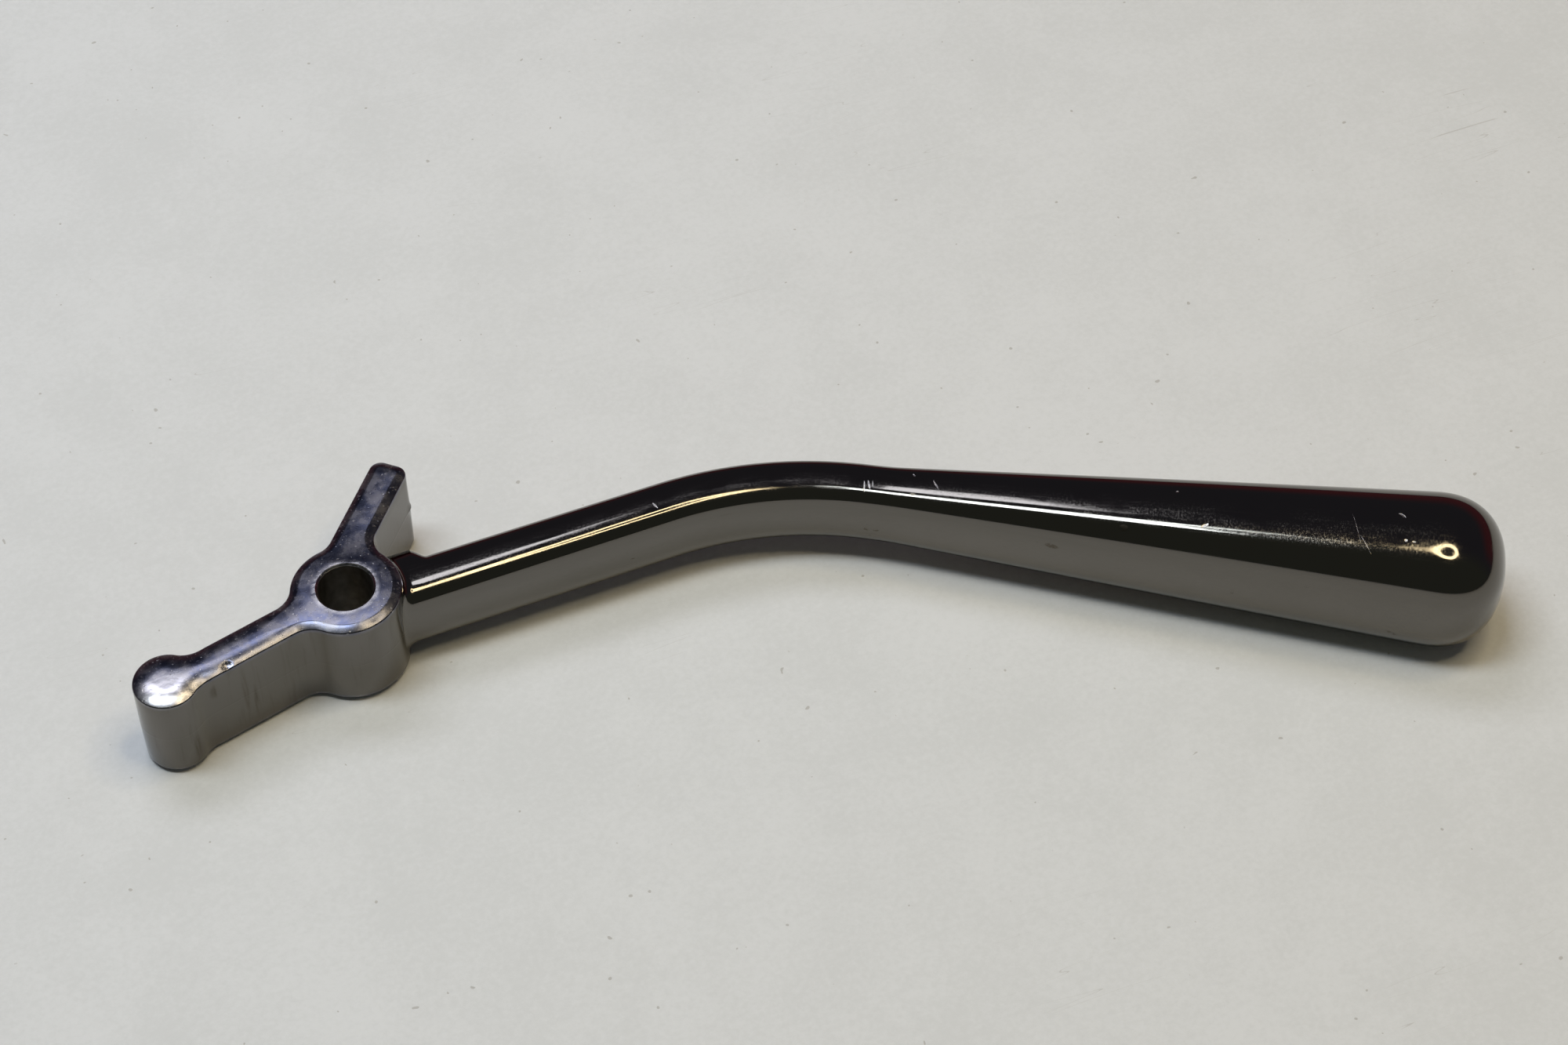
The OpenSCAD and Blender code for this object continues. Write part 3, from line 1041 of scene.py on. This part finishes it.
    def _mark(self, mesh: Mesh) -> None:
        """Store where each point lies on the lever, for the material.

        Args:
            mesh: the skin's mesh, which gains the attributes "grain" and "lever".
        """
        lever = self.lever
        co = np.empty(len(mesh.vertices) * 3)
        mesh.vertices.foreach_get("co", co)
        co = co.reshape(-1, 3) / MM
        stations = np.linspace(0, lever.lever_l, self.stations)
        line = np.array([lever.centre(s) for s in stations])
        nearest = np.empty(len(co), int)
        for start in range(0, len(co), self.batch):
            part = co[start : start + self.batch, None, :2] - line[None]
            nearest[start : start + self.batch] = np.argmin((part**2).sum(2), axis=1)
        s = stations[nearest]
        h = np.array([lever.heading(v) for v in s])
        off = co[:, :2] - line[nearest]
        across = -off[:, 0] * np.sin(h) + off[:, 1] * np.cos(h)
        grain = np.column_stack([s, np.arctan2(co[:, 2], across) * self.grain_r, np.zeros(len(s))])
        mesh.attributes.new("grain", "FLOAT_VECTOR", "POINT").data.foreach_set("vector", grain.ravel())
        radius = np.linalg.norm(co[:, :2], axis=1)
        on = np.clip((radius - self.lever_r) / self.lever_blend, 0, 1) * (s > self.lever_s)
        on *= np.abs(across) < self.lever_half
        arm = radians(self.head.plain_angle)
        beside = -co[:, 0] * sin(arm) + co[:, 1] * cos(arm)
        on[beside > -self.arm_gap] = 0
        mesh.attributes.new("lever", "FLOAT", "POINT").data.foreach_set("value", on)

    def _dent(self, mesh: Mesh) -> None:
        """Press the nick into the nosed arm's edge, with its burr beside it.

        Args:
            mesh: the skin's mesh.
        """
        head = self.head
        nick = Vector(head.nick) * MM
        burr = nick + Vector(head.burr) * MM
        inward = Vector(head.nick_way)
        for vert in mesh.vertices:
            share = 1 - (vert.co - nick).length / (head.nick_r * MM)
            swell = 1 - (vert.co - burr).length / (head.burr_r * MM)
            if share > 0:
                vert.co += inward * (head.nick_depth * MM * share**head.nick_curve)
            elif swell > 0:
                vert.co -= inward * (head.burr_h * MM * swell)

    def build(self) -> Object:
        """Build the skin, dress it and let it stand for the solid.

        Returns:
            The finished piece.
        """
        material = self.finish.make(self.head)
        sizes, rule = self.head, self.lever
        head = self._loft("head_blank", sizes.rings(), (None, None))
        tips = (Vector((rule.hub_r - 2 * rule.root_in, 0, 0)), Vector((*rule.centre(rule.lever_l), 0)))
        lever = self._loft("lever_blank", rule.rings(sizes), tips)
        values = {
            "Lever": lever,
            "Finish": material,
            "Bore Radius": sizes.bore_d / 2 * MM,
            "Bore Length": (sizes.head_t + 4) * MM,
            "Head Half": sizes.head_t / 2 * MM,
            "Chamfer": sizes.bore_chamfer * MM,
        }
        mesh = self._cast(head, values)
        mesh.name = self.name
        for blank in (head, lever):
            bpy.data.objects.remove(blank)
        mesh.materials.clear()
        mesh.materials.append(material)
        mesh.polygons.foreach_set("use_smooth", [True] * len(mesh.polygons))
        mesh.set_sharp_from_angle(angle=radians(self.crease_deg))
        self._mark(mesh)
        self._dent(mesh)
        piece = put(self.name, mesh)
        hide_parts(self.node)
        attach(piece, "root")
        return piece

    def feet(self, piece: Object) -> np.ndarray:
        """Find the three points that the handle rests on.

        Args:
            piece: the skin.

        Returns:
            The lowest points of the nose, the plain arm and the grip.
        """
        co = np.array([v.co[:] for v in piece.data.vertices]) / MM
        low = co[co[:, 2] < self.foot_z]
        angle = np.degrees(np.arctan2(low[:, 1], low[:, 0])) % 360
        head = np.linalg.norm(low[:, :2], axis=1) < self.head_reach
        nose = abs(angle - self.head.nose_angle) < self.nose_spread
        arm = (abs(angle - self.head.plain_angle) < self.arm_spread) & (low[:, 1] > self.arm_y)
        groups = [low[head & nose], low[head & arm], low[low[:, 0] > self.grip_x]]
        feet = np.array([g[np.argmin(g[:, 2])] for g in groups])
        for _ in range(self.foot_rounds):
            normal = plane_up(feet)
            feet = np.array([g[np.argmin(g @ normal)] for g in groups])
        return feet * MM


# --- The studio


@dataclass(frozen=True)
class Lamp:
    """A flat lamp that faces down, placed to the right, away and up as the camera sees it."""

    name: str
    place: Triple
    size: Pair
    glow: float
    colour: Colour


@dataclass(frozen=True)
class RingLamp:
    """A ring of light overhead, placed like the other lamps."""

    name: str = "ring_lamp"
    place: Triple = (0.34, 0.0, 0.90)
    inner: float = 0.128
    outer: float = 0.204
    glow: float = 11.0
    colour: Colour = (1.0, 0.83, 0.52)
    steps: int = 64

    def make(self, middle: Vector) -> None:
        """Build the ring, hidden from the camera.

        Args:
            middle: its centre.
        """
        n = self.steps
        turns = [2 * pi * i / n for i in range(n)]
        ways = [Vector((cos(t), sin(t), 0)) for t in turns]
        points = [middle + way * r for r in (self.inner, self.outer) for way in ways]
        mesh = bpy.data.meshes.new(self.name)
        mesh.from_pydata(points, [], [(i, (i + 1) % n, n + (i + 1) % n, n + i) for i in range(n)])
        material, tree, shader = start_material(self.name)
        tree.fill(shader, {"Base Color": (0.0, 0.0, 0.0), "Emission Color": self.colour})
        tree.fill(shader, {"Emission Strength": self.glow})
        mesh.materials.append(material)
        ring = put(self.name, mesh)
        ring.visible_camera = False


@dataclass
class Studio:
    """The floor, the lamps, the dark room and the camera."""

    table: PaleTable = PaleTable()
    heading_deg: float = 22.5
    pitch_deg: float = 51.35
    eye: Triple = (-0.05732, -0.30007, 0.39674)
    lens: float = 79.82
    sensor: float = 36.0
    clip: Pair = (0.01, 50.0)
    floor_size: float = 8.0
    room: Colour = (0.050, 0.048, 0.060)
    skirting: Colour = (0.13, 0.035, 0.042)
    near_side: Colour = (0.064, 0.067, 0.056)
    near_side_to: Soft = (-0.05, 0.25)
    far_side_from: Soft = (0.2, 0.2)
    skirting_to: Soft = (0.30, 0.16)
    ring: RingLamp = RingLamp()
    lamps: Tuple[Lamp, ...] = (
        Lamp("far_lamp", (-0.29, 0.435, 0.9), (0.65, 0.29), 4.8, (0.88, 0.90, 1.0)),
        Lamp("near_lamp", (-0.2135, -0.025, 0.9), (0.467, 0.18), 12.5, (0.87, 0.95, 1.0)),
        Lamp("near_lamp_tip", (0.0425, 0.045, 0.9), (0.045, 0.03), 12.5, (0.87, 0.95, 1.0)),
    )

    def _axes(self) -> Tuple[Vector, Vector]:
        """Give the level directions away from the camera and to its right."""
        a = radians(self.heading_deg)
        return Vector((sin(a), cos(a), 0)), Vector((cos(a), -sin(a), 0))

    def _above(self, place: Triple) -> Vector:
        """Turn a place seen from the camera, to the right, away and up, into the frame's own."""
        away, right = self._axes()
        return right * place[0] + away * place[1] + Vector((0, 0, place[2]))

    def lay_floor(self, feet: np.ndarray) -> None:
        """Lay the floor against the three points that the handle rests on.

        Args:
            feet: the three points.
        """
        normal = Vector(plane_up(feet))
        along = normal.cross(Vector((1, 0, 0))).normalized()
        right = along.cross(normal)
        half = self.floor_size / 2
        ways = ((-half, -half), (half, -half), (half, half), (-half, half))
        mesh = bpy.data.meshes.new("floor")
        mesh.from_pydata([Vector(feet.mean(0)) + right * a + along * b for a, b in ways], [], [(0, 1, 2, 3)])
        mesh.materials.append(self.table.make())
        floor = put("floor", mesh)

    def hang_lamps(self) -> None:
        """Hang the lamps over the handle."""
        for lamp in self.lamps:
            data = bpy.data.lights.new(lamp.name, "AREA")
            data.shape = "RECTANGLE"
            data.size, data.size_y = lamp.size
            data.energy = lamp.glow * pi * lamp.size[0] * lamp.size[1]
            data.color = lamp.colour
            made = put(lamp.name, data)
            made.location = self._above(lamp.place)
            made.rotation_euler = (0, 0, -radians(self.heading_deg))
        self.ring.make(self._above(self.ring.place))

    def darken_room(self) -> None:
        """Fill the world with dim light, red low down at the far side and warm at the near side."""
        world = bpy.data.worlds.new("dim_room")
        world.use_nodes = True
        tree = Tree(world.node_tree)
        way = tree.wire("ShaderNodeTexCoord", {}, {}, "Generated")
        away, _ = self._axes()
        dot = {"operation": "DOT_PRODUCT"}
        back = tree.wire("ShaderNodeVectorMath", dot, {0: way, 1: tuple(away)}, "Value")
        low = tree.axis(way, 2).below(*self.skirting_to) * back.above(*self.far_side_from)
        dim = tree.blend(back.below(*self.near_side_to), self.room, self.near_side)
        dim = tree.blend(low, dim, self.skirting)
        tree.fill(world.node_tree.nodes["Background"], {"Color": dim})
        bpy.context.scene.world = world

    def set_camera(self) -> None:
        """Place the camera."""
        away, _ = self._axes()
        pitch = radians(self.pitch_deg)
        look = away * cos(pitch) - Vector((0, 0, 1)) * sin(pitch)
        data = bpy.data.cameras.new("camera")
        data.lens, data.sensor_width = self.lens, self.sensor
        data.clip_start, data.clip_end = self.clip
        camera = put("camera", data)
        camera.location = self.eye
        camera.rotation_euler = look.to_track_quat("-Z", "Y").to_euler()
        bpy.context.scene.camera = camera


def main() -> None:
    """Build the handle and its studio, and report each piece."""
    logging.basicConfig(level=logging.INFO, format="%(name)s: %(message)s")
    bpy.context.scene.view_settings.view_transform = "Standard"
    handle = CastHandle()
    piece = handle.build()
    LOG.info("%s: %d points, %d faces", piece.name, len(piece.data.vertices), len(piece.data.polygons))
    studio = Studio()
    feet = handle.feet(piece)
    LOG.info("rests on %s mm", np.round(feet / MM, 2).tolist())
    studio.lay_floor(feet)
    studio.hang_lamps()
    studio.darken_room()
    studio.set_camera()


if __name__ == "__main__":
    main()
